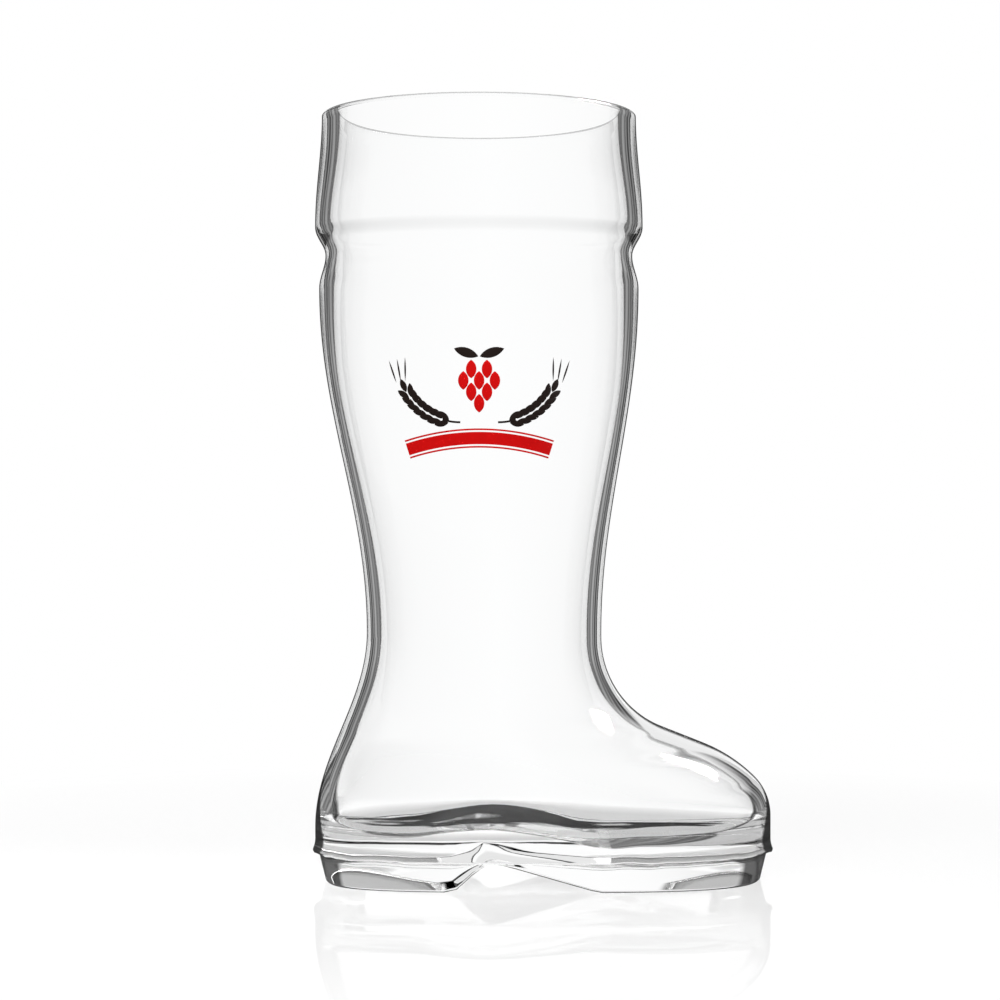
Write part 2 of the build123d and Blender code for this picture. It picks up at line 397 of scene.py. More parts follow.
ROUND = 0.5523  # handle length that makes four curves into a circle
GROOVE_REACH = 0.008  # the wall is thinner this far above and below the groove
TOE_TURN = pi / 4  # the toe is rounded off more gently above this slope
WALL_WAVES = 2.2  # how closely the waves follow each other
WALL_WAVE_RISE = 0.02  # and how little they change from row to row
FLOOR_WAVES = 42.0
SEAM_WAVES = 7.0
WAVE_DETAIL = 1.0


def ease(part):
    """Goes from 0 to 1 with level ends."""
    return (1 - cosine(part * pi)) / 2


def between(height, low, high, at_low, at_high):
    """A size that eases from one height to another."""
    return at_low + (at_high - at_low) * ease(ramp(height, low, high))


class BootSizes(Sizes):
    """The sizes of the boot, and those that follow from them."""

    def __init__(self, tree, *groups):
        super().__init__(tree, BootGlassSizes, *groups)
        self.tilt_up = cosine(self.vamp_slope)
        self.tilt_on = sine(self.vamp_slope)
        self.toe_middle = self.foot_length / 2 - self.toe_radius
        self.vamp_reach = self.toe_middle * self.tilt_on + self.toe_height * self.tilt_up + self.toe_radius
        self.instep_middle = self.ankle_place + self.ankle_diameter / 2 + self.instep_radius
        instep_level = self.vamp_reach + self.instep_radius - self.instep_middle * self.tilt_on
        self.instep_height = instep_level / self.tilt_up
        self.ankle_height = self.instep_height + self.ankle_rise


def leg_radius(size, height):
    """Outside radius of the leg and the cuff."""
    stations = (
        (size.ankle_height, size.ankle_diameter),
        (size.calf_height, size.calf_diameter),
        (size.groove_height, size.groove_diameter),
        (size.cuff_height, size.cuff_diameter),
        (size.boot_height, size.rim_diameter),
    )
    diameter = size.ankle_diameter
    for (low, at_low), (high, at_high) in zip(stations, stations[1:]):
        diameter = diameter + (at_high - at_low) * ease(ramp(height, low, high))
    return diameter / 2


def leg_place(size, height):
    """Middle of the leg along the foot."""
    return between(height, size.ankle_height, size.calf_height, size.ankle_place, size.calf_place)


def front_edge(size, height, depth):
    """How far forward the side view reaches, at a depth under the surface."""
    leg = leg_place(size, height) + leg_radius(size, height) - depth
    hollow = size.instep_radius + depth
    bulge = size.toe_radius - depth
    instep = size.instep_middle - root(square(hollow) - square(size.instep_height - height))
    vamp = (size.vamp_reach - depth - height * size.tilt_up) / size.tilt_on
    # The toe has two arcs: a tight one at the tip, and a gentle one that runs on into the vamp
    turn = cosine(TOE_TURN - size.vamp_slope)
    tip = (bulge * (1 - size.tilt_on) - size.toe_top_radius * (1 - turn)) / (turn - size.tilt_on)
    over_toe = (height - size.toe_height).math("MAXIMUM", 0)
    toe = size.toe_middle + bulge - tip + root(square(tip) - square(over_toe))
    shift = (size.toe_top_radius - tip) * cos(TOE_TURN)
    over_top = over_toe + shift
    top = size.toe_middle + bulge - tip - shift + root(square(size.toe_top_radius) - square(over_top))
    toe = choose(over_toe.math("LESS_THAN", tip * cos(TOE_TURN)), toe, top)
    front = choose(over_top.math("LESS_THAN", size.toe_top_radius * size.tilt_up), toe, vamp)
    front = choose(height.math("LESS_THAN", size.instep_height - hollow * size.tilt_up), front, instep)
    return choose(height.math("LESS_THAN", size.instep_height), front, leg)


def back_edge(size, height, depth):
    """How far back the side view reaches, at a depth under the surface."""
    leg = leg_place(size, height) - leg_radius(size, height)
    ankle_back = size.ankle_place - size.ankle_diameter / 2
    foot = between(height, size.heel_height, size.ankle_height, -size.foot_length / 2, ankle_back)
    return choose(height.math("LESS_THAN", size.ankle_height), foot, leg) + depth


def outline_point(size, around, height, depth, inset, squareness):
    """A point of the plan outline, from the toe at 0 to the heel at 1 on one side and -1 on the other."""
    back = back_edge(size, height, depth) + inset
    front = front_edge(size, height, depth) - inset
    reach = between(height, size.toe_height, size.ankle_height, 1, 0)
    widening = (size.ball_width - size.ankle_diameter) / 2 * reach
    half_width = leg_radius(size, height) - depth - inset + widening
    middle = back + (front - back) * (reach * (size.ball_place - 0.5) + 0.5)
    toe_handle = reach * (size.toe_fullness + squareness - ROUND) + ROUND
    heel_handle = reach * (size.heel_fullness + squareness - ROUND) + ROUND
    turned = around.math("ABSOLUTE")
    on_toe = turned.math("LESS_THAN", 0.5)
    step = choose(on_toe, turned * 2, 2 - turned * 2)
    end = choose(on_toe, front, back)
    handle = choose(on_toe, toe_handle, heel_handle)
    side = middle + (end - middle) * handle
    left = 1 - step
    near_end = square(left) * left + square(left) * step * 3
    bend = square(step) * left * 3
    across = end * near_end + side * bend + middle * square(step) * step
    out = half_width * (handle * square(left) * step * 3 + bend + square(step) * step)
    return across, out * around.math("SIGN")


def wall_at(size, height):
    """Thickness of the wall."""
    thinning = ramp(height, size.ankle_height, size.leg_wall_height)
    thinning = ease(thinning) - ease(ramp(height, size.leg_wall_height, size.groove_height))
    rim = ease(ramp(height, size.cuff_height, size.boot_height))
    from_groove = (height - size.groove_height).math("ABSOLUTE")
    dip = size.groove_dip * (1 - ease(ramp(from_groove, 0.0, GROOVE_REACH)))
    return size.wall - (size.wall - size.leg_wall) * thinning + (size.rim_wall - size.wall) * rim - dip


def arch_rise(size, across):
    """Height of the underside above the table."""
    heel_foot = size.arch_place - size.arch_top / 2 - size.heel_breast
    sole_foot = size.arch_place + size.arch_top / 2 + size.sole_slope
    up_heel = (across - heel_foot) * size.seam_height / size.heel_breast
    up_sole = (sole_foot - across) * size.seam_height / size.sole_slope
    up_heel = up_heel.math("SMOOTH_MAX", 0.0, size.heel_blend)
    up_sole = up_sole.math("SMOOTH_MAX", 0.0, size.sole_blend)
    return up_heel.math("MINIMUM", up_sole).math("MINIMUM", size.seam_height)


def raised_floor(size, across):
    """Height of the inside floor behind and over the arch."""
    half = size.hump_length / 2
    radius = (square(half) + square(size.hump_rise)) / (size.hump_rise * 2)
    middle = size.floor_height + size.hump_rise - radius
    hump = middle + root((square(radius) - square(across - size.arch_place)).math("MAXIMUM", 0))
    heel = choose(across.math("LESS_THAN", size.arch_place), size.heel_floor_height, 0.0)
    return hump.math("SMOOTH_MAX", heel, size.hump_blend)


def sole_drop(size, stretch, across):
    """How far the side of the sole hangs under the seam, and the round along its edge."""
    arch = arch_rise(size, across)
    edge = size.sole_round.math("MINIMUM", (size.seam_height - arch) / 2)
    rounding = edge * (1 - cosine(stretch["sole_edge"] * (pi / 2)))
    return (size.seam_height - arch - rounding) * (1 - stretch["sole_side"]), edge


def noise_waves(tree, place, scale):
    """Uneven waves between about -1 and 1."""
    return (noise_at(tree, place, scale, WAVE_DETAIL) - 0.5) * 2


def wander(tree, size):
    """How far the inside of the wall stands off its even thickness, in slow waves."""
    around, row, _ = position_of(tree)
    place = combine(tree, sine(around * pi), cosine(around * pi), row * WALL_WAVE_RISE)
    return noise_waves(tree, place, WALL_WAVES) * size.waver


# Rows of points from the middle of the underside, over the rim, to the middle of the inside floor
ROWS = {
    "underside": 10,
    "sole_edge": 5,
    "sole_side": 4,
    "ledge": 2,
    "fin": 6,
    "toe": 44,
    "instep": 64,
    "leg": 44,
    "cuff": 54,
    "lip": 14,
    "cuff_inside": 54,
    "leg_inside": 44,
    "instep_inside": 66,
    "toe_inside": 22,
    "floor_edge": 10,
    "floor": 12,
}
AROUND = 144
TOE_TOP = 0.038  # rows change their spacing here
TOE_TOP_INSIDE = 0.034
PAST_LIP = 0.99  # share of the lip after which a row is inside
WELD = 2e-6  # points nearer than this become one


def boot_tree(material):
    """One closed skin of glass: sole, outside, lip, inside and floor."""
    tree = new_tree("Boot glass")
    size = BootSizes(tree)
    row_count = sum(ROWS.values())
    grid = add_node(
        tree, "GeometryNodeMeshGrid", size_x=2.0, size_y=float(row_count),
        vertices_x=AROUND + 1, vertices_y=row_count + 1,
    ).outputs["Mesh"]
    around, row, _ = position_of(tree)
    row = row + row_count / 2
    stretch = {}
    first = 0
    for name, count in ROWS.items():
        stretch[name] = ramp(row, float(first), float(first + count))
        first += count
    lip_start = size.boot_height - size.lip_round
    inside_foot = size.floor_height + size.floor_round
    rises = (
        ("fin", size.seam_fin_height),
        ("toe", TOE_TOP - size.seam_height - size.seam_fin_height),
        ("instep", size.ankle_height - TOE_TOP),
        ("leg", size.calf_height - size.ankle_height),
        ("cuff", lip_start - size.calf_height),
        ("cuff_inside", size.calf_height - lip_start),
        ("leg_inside", size.ankle_height - size.calf_height),
        ("instep_inside", TOE_TOP_INSIDE - size.ankle_height),
        ("toe_inside", inside_foot - TOE_TOP_INSIDE),
    )
    height = size.seam_height
    for name, rise in rises:
        height = height + stretch[name] * rise
    height = height + sine(stretch["lip"] * pi) * size.lip_round
    height = height - sine(stretch["floor_edge"] * (pi / 2)) * size.floor_round
    depth = ease(stretch["lip"]) * wall_at(size, height)
    depth = depth + wander(tree, size) * stretch["cuff_inside"] * (1 - stretch["floor_edge"])
    inset = (1 - cosine(stretch["floor_edge"] * (pi / 2))) * size.floor_round
    unflared = 1 - stretch["fin"]
    inset = inset - square(unflared) * size.seam_fin * stretch["ledge"]
    # The sole: the arch is found at the middle of the taper, then again where the point comes to lie
    half_taper = size.sole_inset + size.sole_taper / 2
    across, _ = outline_point(size, around, height, depth, half_taper, size.sole_squareness / 2)
    drop, edge = sole_drop(size, stretch, across)
    low = drop / size.seam_height
    rounding = edge * (1 - sine(stretch["sole_edge"] * (pi / 2)))
    sole_inset = size.sole_inset + size.sole_taper * low + rounding
    inset = inset + sole_inset * (1 - stretch["ledge"])
    across, deep = outline_point(size, around, height, depth, inset, size.sole_squareness * low)
    drop, _ = sole_drop(size, stretch, across)
    deep = deep * stretch["underside"] * (1 - stretch["floor"])
    # The floor inside and the seam are uneven
    floor = height.math("SMOOTH_MAX", raised_floor(size, across), size.hump_blend)
    floor_waves = noise_waves(tree, combine(tree, across, deep, 0.0), FLOOR_WAVES)
    floor = floor + floor_waves * size.floor_waver * stretch["floor_edge"]
    seam_place = combine(tree, sine(around * pi), cosine(around * pi), 0.0)
    seam_waves = noise_waves(tree, seam_place, SEAM_WAVES)
    rough_seam = seam_waves * size.seam_waver * stretch["sole_side"] * unflared
    up = choose(stretch["lip"].math("GREATER_THAN", PAST_LIP), floor, height - drop + rough_seam)
    skin = moved(tree, grid, across, deep, up)
    welded = add_node(tree, "GeometryNodeMergeByDistance", skin, distance=WELD).outputs[0]
    close_tree(tree, welded, material, True)
    return tree


# Shapes of the print, in fields

EMBED = 0.00003  # the enamel starts this deep in the glass
HOP_ROWS = (2, 3, 2, 1)  # scales in each row of the cone, from the top
OVAL_SIDES = 14
OVAL_RINGS = 12
LEAST_GIRTH = 1e-6  # keeps the points of an oval from dividing by 0
CROWN_THINNING = 0.4  # how quickly its crown thins out towards the points
STEM_PIECES = 10
RIBBON_PIECES = 48


def wrapped(tree, size, mesh):
    """A flat emblem, with its thickness along Y, laid on the outside of the leg."""
    across, out, up = position_of(tree)
    height = up + size.print_height
    radius = leg_radius(size, height)
    place = leg_place(size, height)
    shift = leg_place(size, size.print_height) + across - place
    surface = root(square(radius) - square(shift))
    grown = (radius + out) / radius
    return moved(tree, mesh, place + shift * grown, -(surface * grown), height)


def pointed_oval(tree, size, long, wide):
    """A grain, leaf or scale, long along X and thick along Y, with a low crown."""
    ball = add_node(
        tree, "GeometryNodeMeshUVSphere", segments=OVAL_SIDES, rings=OVAL_RINGS, radius=1.0
    ).outputs["Mesh"]
    aside, outward, along = position_of(tree)
    girth = root((1 - square(along)).math("MAXIMUM", LEAST_GIRTH))
    radius = (square(long) + square(wide)) / (wide * 4)
    half = long / 2 * along
    half_width = (root(square(radius) - square(half)) - radius + wide / 2).math("MAXIMUM", 0.0)
    crown = (outward / girth * size.print_thickness).math("MAXIMUM", -EMBED)
    taper = (half_width / (wide / 2)).math("POWER", CROWN_THINNING)
    return moved(tree, ball, half, crown * taper, aside / girth * half_width)


def bent_band(tree, size, middle, radius, wide, start, sweep, pieces):
    """A band along an arc about a middle, from an angle to the right of straight up."""
    block = add_node(
        tree, "GeometryNodeMeshCube", vertices_x=pieces + 1, vertices_y=2, vertices_z=3
    ).outputs["Mesh"]
    along, thick, aside = position_of(tree)
    turn = start + sweep * (along + 0.5)
    reach = radius + wide * aside
    out = (thick + 0.5) * (size.print_thickness + EMBED) - EMBED
    band = moved(tree, block, middle[0] + reach * sine(turn), out, middle[1] + reach * cosine(turn))
    return add_node(tree, "GeometryNodeFlipFaces", band).outputs[0]


def set_on(tree, points, shape, tilt):
    """A shape set on points, turned in the emblem's plane."""
    spin = add_node(tree, "FunctionNodeEulerToRotation", euler=combine(tree, 0.0, -tilt, 0.0)).outputs[0]
    node = add_node(tree, "GeometryNodeInstanceOnPoints", points, instance=shape, rotation=spin)
    return node.outputs[0]


def line_of_points(tree, count):
    """Points to be moved to their places, and the number of each, from 0."""
    points = add_node(tree, "GeometryNodeMeshLine", count=count).outputs[0]
    return points, Field(tree, tree.nodes.new("GeometryNodeInputIndex").outputs[0])


def on_ear(tree, size, count, shape, places):
    """A shape repeated along the right-hand ear. The places give along, aside and tilt for each number."""
    points, number = line_of_points(tree, count)
    along, aside, tilt = places(number)
    turn = size.ear_sweep * along
    reach = size.ear_radius - aside
    across = size.ear_across + reach * sine(turn)
    up = size.ear_radius - size.ear_drop - reach * cosine(turn)
    return set_on(tree, moved(tree, points, across, 0.0, up), shape, turn + tilt)


def ear_of_barley(tree, size):
    """The right-hand ear: a bare stem, grains in pairs, a grain at the tip and three awns."""
    grain = pointed_oval(tree, size, size.grain_length, size.grain_width)
    awn = pointed_oval(tree, size, size.awn_length, size.awn_width)
    middle = (size.ear_across, size.ear_radius - size.ear_drop)
    stem_sweep = -(size.ear_sweep * size.ear_stem)
    pair_step = (1 - size.ear_stem) / size.grain_pairs
    pieces = [
        bent_band(tree, size, middle, -size.ear_radius, size.stem_width, 0.0, stem_sweep, STEM_PIECES),
        on_ear(tree, size, 1, grain, lambda number: (1.0, 0.0, 0.0)),
        on_ear(tree, size, 3, awn, lambda number: (
            size.awn_place, size.awn_spread * (number - 1), size.awn_angle * (number - 1)
        )),
    ]
    for side in (1, -1):
        pieces.append(on_ear(tree, size, size.grain_pairs, grain, lambda pair: (
            size.ear_stem + pair_step * pair, size.grain_spread * side, size.grain_angle * side
        )))
    return joined(tree, *pieces)


def leaf(tree, size):
    """The right-hand leaf over the hop cone."""
    up = size.hop_top + (size.bract_length + size.leaf_width) / 2 + size.leaf_gap
    point = moved(tree, line_of_points(tree, 1)[0], size.leaf_length / 2, 0.0, up)
    return set_on(tree, point, pointed_oval(tree, size, size.leaf_length, size.leaf_width), size.leaf_angle)


def dark_tree(material):
    """Two ears of barley and two leaves, the left-hand ones mirrored."""
    tree = new_tree("Dark print")
    size = BootSizes(tree, BootPrintSizes)
    right = joined(tree, ear_of_barley(tree, size), leaf(tree, size))
    right = add_node(tree, "GeometryNodeRealizeInstances", right).outputs[0]
    across, out, up = position_of(tree)
    left = add_node(tree, "GeometryNodeFlipFaces", moved(tree, right, -across, out, up)).outputs[0]
    close_tree(tree, wrapped(tree, size, joined(tree, right, left)), material, False)
    return tree


def red_tree(material):
    """A hop cone over a ribbon with a fine line along each side."""
    tree = new_tree("Red print")
    size = BootSizes(tree, BootPrintSizes)
    scale = pointed_oval(tree, size, size.bract_length, size.bract_width)
    pieces = []
    for row, count in enumerate(HOP_ROWS):
        points, number = line_of_points(tree, count)
        across = (number * 2 - (count - 1)) * size.bract_step
        up = size.hop_top - size.bract_drop * row
        pieces.append(set_on(tree, moved(tree, points, across, 0.0, up), scale, pi / 2))
    middle = (0.0, -(size.ribbon_drop + size.ribbon_radius))
    line_step = (size.ribbon_width + size.ribbon_line) / 2 + size.ribbon_gap
    start = size.ribbon_sweep / -2
    for radius, wide in (
        (size.ribbon_radius, size.ribbon_width),
        (size.ribbon_radius + line_step, size.ribbon_line),
        (size.ribbon_radius - line_step, size.ribbon_line),
    ):
        pieces.append(bent_band(tree, size, middle, radius, wide, start, size.ribbon_sweep, RIBBON_PIECES))
    flat = add_node(tree, "GeometryNodeRealizeInstances", joined(tree, *pieces)).outputs[0]
    close_tree(tree, wrapped(tree, size, flat), material, False)
    return tree


# Materials

# Pairs are where a change starts and ends: heights, or turns from 0, seen straight on, to 1, seen edge on
GLASS_IOR = 1.5
STIPPLE_END = (0.0002, 0.0006)  # the underside is stippled up to this height
STIPPLE_ROUGHNESS = 0.3
GLOSS_OUTSIDE = (0.3, 0.65)  # the glass mirrors past these turns
GLOSS_INSIDE = (0.235, 0.254)
# Painted shade: a near-black diffuse line along the outline of the glass stands in for the dark edges that
# bent light gives it
PAINTED_EDGE_SHADE_COLOUR = (0.02, 0.02, 0.02, 1)
PAINTED_EDGE_SHADE_TURN = (0.845, 0.895)  # painted shade: the dark line along the outline, standing in for the glass's dark edges
PAINTED_EDGE_SHADE_SHARE = 0.95
FOOT_END = (0.014, 0.03)  # below this the painted shade line is broader
FOOT_SHIFT = 0.1
UPRIGHT_END = (0.3, 0.6)  # upward part of the surface's direction, under which the painted shade line is broader still
UPRIGHT_SHIFT = 0.16
# Painted shade over the solid sole, broad and dark, and over the lip, lighter
SOLE_END = (0.0082, 0.0088)
SOLE_TURN = (0.34, 0.42)
SOLE_PAINTED_SHADE_SHARE = 0.88
LIP_START = (boot_top - 0.0011, boot_top - 0.0009)
LIP_TURN = (0.35, 0.6)
LIP_PAINTED_SHADE_SHARE = 0.4
SHADE_COLOUR = (0.9, 0.9, 0.9, 1)  # a lamp's light after the glass

CLOUD_SCALE = 260.0
CLOUD_DETAIL = 3.0
CLOUD_SHADES = (0.86, 1.14)
GRAIN_SCALE = 5200.0
GRAIN_DETAIL = 2.0
GRAIN_STRENGTH = 0.12
GRAIN_DEPTH = 0.00002
GRAIN_ROUGHNESS = 0.16
ENAMEL_ROUGHNESS = 0.45
ENAMEL_SPECULAR = 0.12


def new_material(name):
    """A material with a Principled shader and an output, and its tree."""
    material = bpy.data.materials.new(name)
    material.use_nodes = True
    tree = material.node_tree
    return material, tree, tree.nodes["Principled BSDF"], tree.nodes["Material Output"]


def object_place(tree):
    """A vector socket with the place on the piece."""
    return tree.nodes.new("ShaderNodeTexCoord").outputs["Object"]


def mixed(tree, amount, first, second):
    """A shader between two others."""
    mix = tree.nodes.new("ShaderNodeMixShader")
    put(tree, amount, mix.inputs[0])
    tree.links.new(first, mix.inputs[1])
    tree.links.new(second, mix.inputs[2])
    return mix.outputs[0]


def light_share(tree, *names):
    """1 for the named kinds of ray, and 0 for others."""
    path = tree.nodes.new("ShaderNodeLightPath")
    fields = [Field(tree, path.outputs[name]) for name in names]
    total = fields[0]
    for field in fields[1:]:
        total = total.math("MAXIMUM", field)
    return total


def glass_material(tint):
    """Clear fire-polished glass. Lamps shine through it, so that its shadow stays light."""
    material, tree, shader, output = new_material("clear_glass")
    height = parts_of(tree, object_place(tree))[2]
    stipple = (1 - ramp(height, *STIPPLE_END)) * STIPPLE_ROUGHNESS
    shader.inputs["Base Color"].default_value = (*tint, 1)
    shader.inputs["IOR"].default_value = GLASS_IOR
    shader.inputs["Transmission Weight"].default_value = 1.0
    put(tree, stipple, shader.inputs["Roughness"])
    facing = Field(tree, add_node(tree, "ShaderNodeLayerWeight", blend=0.5).outputs["Facing"])
    geometry = tree.nodes.new("ShaderNodeNewGeometry")
    inside = Field(tree, geometry.outputs["Backfacing"])
    # Seen straight on, the glass only bends the light: its weak reflections there would show as bands
    plain = add_node(tree, "ShaderNodeBsdfRefraction", color=(*tint, 1), roughness=stipple)
    plain.inputs["IOR"].default_value = GLASS_IOR
    glossy = ramp(facing, *GLOSS_OUTSIDE) * (1 - inside) + ramp(facing, *GLOSS_INSIDE) * inside
    surface = mixed(tree, glossy, plain.outputs[0], shader.outputs[0])
    # Painted shade: seen edge on, the outline gets a thin dark line standing in for the glass's dark edges,
    # broader along the foot and broadest along the solid sole
    on_foot = 1 - ramp(height, *FOOT_END)
    upright = 1 - ramp(parts_of(tree, geometry.outputs["Normal"])[2], *UPRIGHT_END)
    dark = ramp(facing + on_foot * (upright * UPRIGHT_SHIFT + FOOT_SHIFT), *PAINTED_EDGE_SHADE_TURN) * PAINTED_EDGE_SHADE_SHARE
    on_sole = 1 - ramp(height, *SOLE_END)
    dark = dark + (ramp(facing, *SOLE_TURN) * SOLE_PAINTED_SHADE_SHARE - dark) * on_sole
    on_lip = ramp(height, *LIP_START)
    dark = dark + (ramp(facing, *LIP_TURN) * LIP_PAINTED_SHADE_SHARE - dark) * on_lip
    # painted shade: a near-black diffuse surface where the outline is
    line = add_node(tree, "ShaderNodeBsdfDiffuse", color=PAINTED_EDGE_SHADE_COLOUR)
    surface = mixed(tree, dark * (1 - inside), surface, line.outputs[0])
    clear = add_node(tree, "ShaderNodeBsdfTransparent", color=SHADE_COLOUR)
    surface = mixed(tree, light_share(tree, "Is Shadow Ray"), surface, clear.outputs[0])
    tree.links.new(surface, output.inputs["Surface"])
    return material


def enamel_material(name, ink):
    """Fired screen print: even ink with faint cloudiness, and a fine grain in its gloss."""
    material, tree, shader, _ = new_material(name)
    place = object_place(tree)
    cloud = noise_at(tree, place, CLOUD_SCALE, CLOUD_DETAIL)
    grain = noise_at(tree, place, GRAIN_SCALE, GRAIN_DETAIL)
    shade = tree.nodes.new("ShaderNodeMix")
    shade.data_type = "RGBA"
    put(tree, cloud, shade.inputs[0])
    for level, socket in zip(CLOUD_SHADES, shade.inputs[6:8]):
        socket.default_value = (*[min(channel * level, 1) for channel in ink], 1)
    tree.links.new(shade.outputs[2], shader.inputs["Base Color"])
    put(tree, grain * GRAIN_ROUGHNESS + ENAMEL_ROUGHNESS, shader.inputs["Roughness"])
    shader.inputs["Specular IOR Level"].default_value = ENAMEL_SPECULAR
    bump = add_node(tree, "ShaderNodeBump", strength=GRAIN_STRENGTH, distance=GRAIN_DEPTH, height=grain)
    tree.links.new(bump.outputs[0], shader.inputs["Normal"])
    return material


# Stage

AMBIENT = 0.5  # brightness of the studio for matt surfaces
FLOOR_RADIUS = 2.5
FLOOR_SIDES = 96
NEAR_END = (0.08, 0.35)  # this near the boot the floor has a shadow and a reflection, no panels, and a little painted shade where the glass shows it
# painted shade: the floor as the glass shows it is a little darker near the boot
NEAR_PAINTED_SHADE = 0.045
NEAR_SHADOW = 0.18
UNDER_END = (0.075, 0.12)  # painted shadow: right under the boot the floor is grey where the glass shows it
UNDER_PAINTED_SHADOW = 0.48
MATT_COLOUR = (0.95, 0.95, 0.95, 1)
MIRROR_ROUGHNESS = 0.012
MIRROR_IOR = 1.12

# Brightness round the boot, as it shows straight through the glass, and in the light that runs along a wall.
# Each repeats at its own step, and goes from the middle of a panel, at 0, to the middle of a flag, at 1.
BACKDROP_STEP = pi / 4
BACKDROP_LEVELS = ((0.0, 1.0), (0.3, 0.97), (0.6, 0.91), (1.0, 0.83))
FLAG_STEP = pi / 2
FLAG_LEVELS = (
    (0.0, 1.0), (0.44, 1.0), (0.48, 0.03), (0.53, 0.02), (0.57, 0.34), (0.61, 0.05), (0.66, 0.02),
    (0.71, 0.4), (0.75, 0.06), (0.8, 0.34), (0.86, 0.45), (0.92, 0.12), (1.0, 0.28),
)
# Further up both are dimmer, and over the flags there is one even light
BACKDROP_DIM = (0.17, 0.45)
BACKDROP_LOSS = 0.6
FLAG_DIM = (0.05, 0.14)
FLAG_LOSS = 0.2
FLAG_END = (0.3, 0.5)
OVER_FLAGS = 0.85

# Name, place, target, size, watts, and whether it shows in the glass
LAMPS = (
    ("key", (-0.75, -0.95, 0.85), (0.0, 0.0, 0.10), (0.5, 0.5), 24.0, False),
    ("fill", (0.95, -0.7, 0.55), (0.0, 0.0, 0.10), (0.5, 0.6), 13.0, False),
    ("top", (0.60, 0.20, 0.69), (0.06, -0.02, 0.045), (0.3, 0.26), 73.0, True),
)

CAMERA_PLACE = (-0.0132, -0.834, 0.1161)
CAMERA_LENS = 97.4
CAMERA_SENSOR = 36.0


def has_met(tree, name):
    """1 for light that has met a surface of the named kind on its way, and 0 for other light."""
    path = tree.nodes.new("ShaderNodeLightPath")
    return Field(tree, path.outputs[name]).math("GREATER_THAN", 0.5)


def levels_round(tree, across, deep, step, stops):
    """Brightness in a direction from the boot, from a list of levels that repeats at a step."""
    turn = math_node(tree, "ARCTAN2", across, deep) / step
    from_panel = (turn - turn.math("ROUND")).math("ABSOLUTE") * 2
    levels = tree.nodes.new("ShaderNodeValToRGB")
    elements = levels.color_ramp.elements
    while len(elements) < len(stops):
        elements.new(0.5)
    for element, (place, level) in zip(elements, stops):
        element.position = place
        element.color = (level, level, level, 1)
    put(tree, from_panel, levels.inputs[0])
    return Field(tree, levels.outputs[0])


def seen_through_glass(tree, across, deep, up, near):
    """Brightness in a direction: flags where light has run along a wall, or else the backdrop."""
    backdrop = levels_round(tree, across, deep, BACKDROP_STEP, BACKDROP_LEVELS)
    backdrop = backdrop + (1 - backdrop) * near
    backdrop = backdrop * (1 - ramp(up, *BACKDROP_DIM) * BACKDROP_LOSS)
    flags = levels_round(tree, across, deep, FLAG_STEP, FLAG_LEVELS)
    flags = flags * (1 - ramp(up, *FLAG_DIM) * has_met(tree, "Transmission Depth") * FLAG_LOSS)
    flags = flags + (OVER_FLAGS - flags) * ramp(up, *FLAG_END)
    return backdrop + (flags - backdrop) * has_met(tree, "Glossy Depth")


def make_world(tint):
    """White behind the boot. In and through the glass it has panels and flags, and it is dim overhead."""
    world = bpy.data.worlds.new("studio")
    world.use_nodes = True
    bpy.context.scene.world = world
    tree = world.node_tree
    background = tree.nodes["Background"]
    place = tree.nodes.new("ShaderNodeTexCoord")
    seen = seen_through_glass(tree, *parts_of(tree, place.outputs["Generated"]), 0.0)
    camera = light_share(tree, "Is Camera Ray")
    glass = light_share(tree, "Is Glossy Ray", "Is Transmission Ray")
    level = camera + (1 - camera) * (glass * seen + (1 - glass) * AMBIENT)
    background.inputs["Color"].default_value = (*tint, 1)
    put(tree, level, background.inputs["Strength"])


def floor_material(tint):
    """White floor that keeps the boot's shadow and a faint reflection of it. Where the glass shows it, it
    has painted shade near the boot and a painted shadow under it.
    """
    material, tree, shader, output = new_material("white_floor")
    tree.nodes.remove(shader)
    across, deep, up = parts_of(tree, object_place(tree))
    reach = root(square(across) + square(deep))
    near = 1 - ramp(reach, *NEAR_END)
    under = 1 - ramp(reach, *UNDER_END)
    seen = seen_through_glass(tree, across, deep, up, near)
    # Painted shade near the boot and a painted shadow right under it, in the floor as the glass shows it
    seen = seen * (1 - near * NEAR_PAINTED_SHADE - under * UNDER_PAINTED_SHADOW)
    camera = light_share(tree, "Is Camera Ray")
    glass = light_share(tree, "Is Glossy Ray", "Is Transmission Ray")
    level = camera + (1 - camera) * glass * seen
    glow = add_node(tree, "ShaderNodeEmission", color=(*tint, 1), strength=level)
    matt = add_node(tree, "ShaderNodeBsdfDiffuse", color=MATT_COLOUR)
    surface = mixed(tree, near * NEAR_SHADOW, glow.outputs[0], matt.outputs[0])
    mirror = add_node(tree, "ShaderNodeBsdfGlossy", roughness=MIRROR_ROUGHNESS)
    fresnel = tree.nodes.new("ShaderNodeFresnel")
    fresnel.inputs["IOR"].default_value = MIRROR_IOR
    surface = mixed(tree, Field(tree, fresnel.outputs[0]) * near * camera, surface, mirror.outputs[0])
    tree.links.new(surface, output.inputs["Surface"])
    return material


def make_floor(tint):
    """A round floor under the boot."""
    tree = new_tree("Floor")
    disc = add_node(tree, "GeometryNodeMeshCircle", vertices=FLOOR_SIDES, radius=FLOOR_RADIUS)
    disc.fill_type = "NGON"
    close_tree(tree, disc.outputs[0], floor_material(tint), False)
    finished_piece("floor", tree)


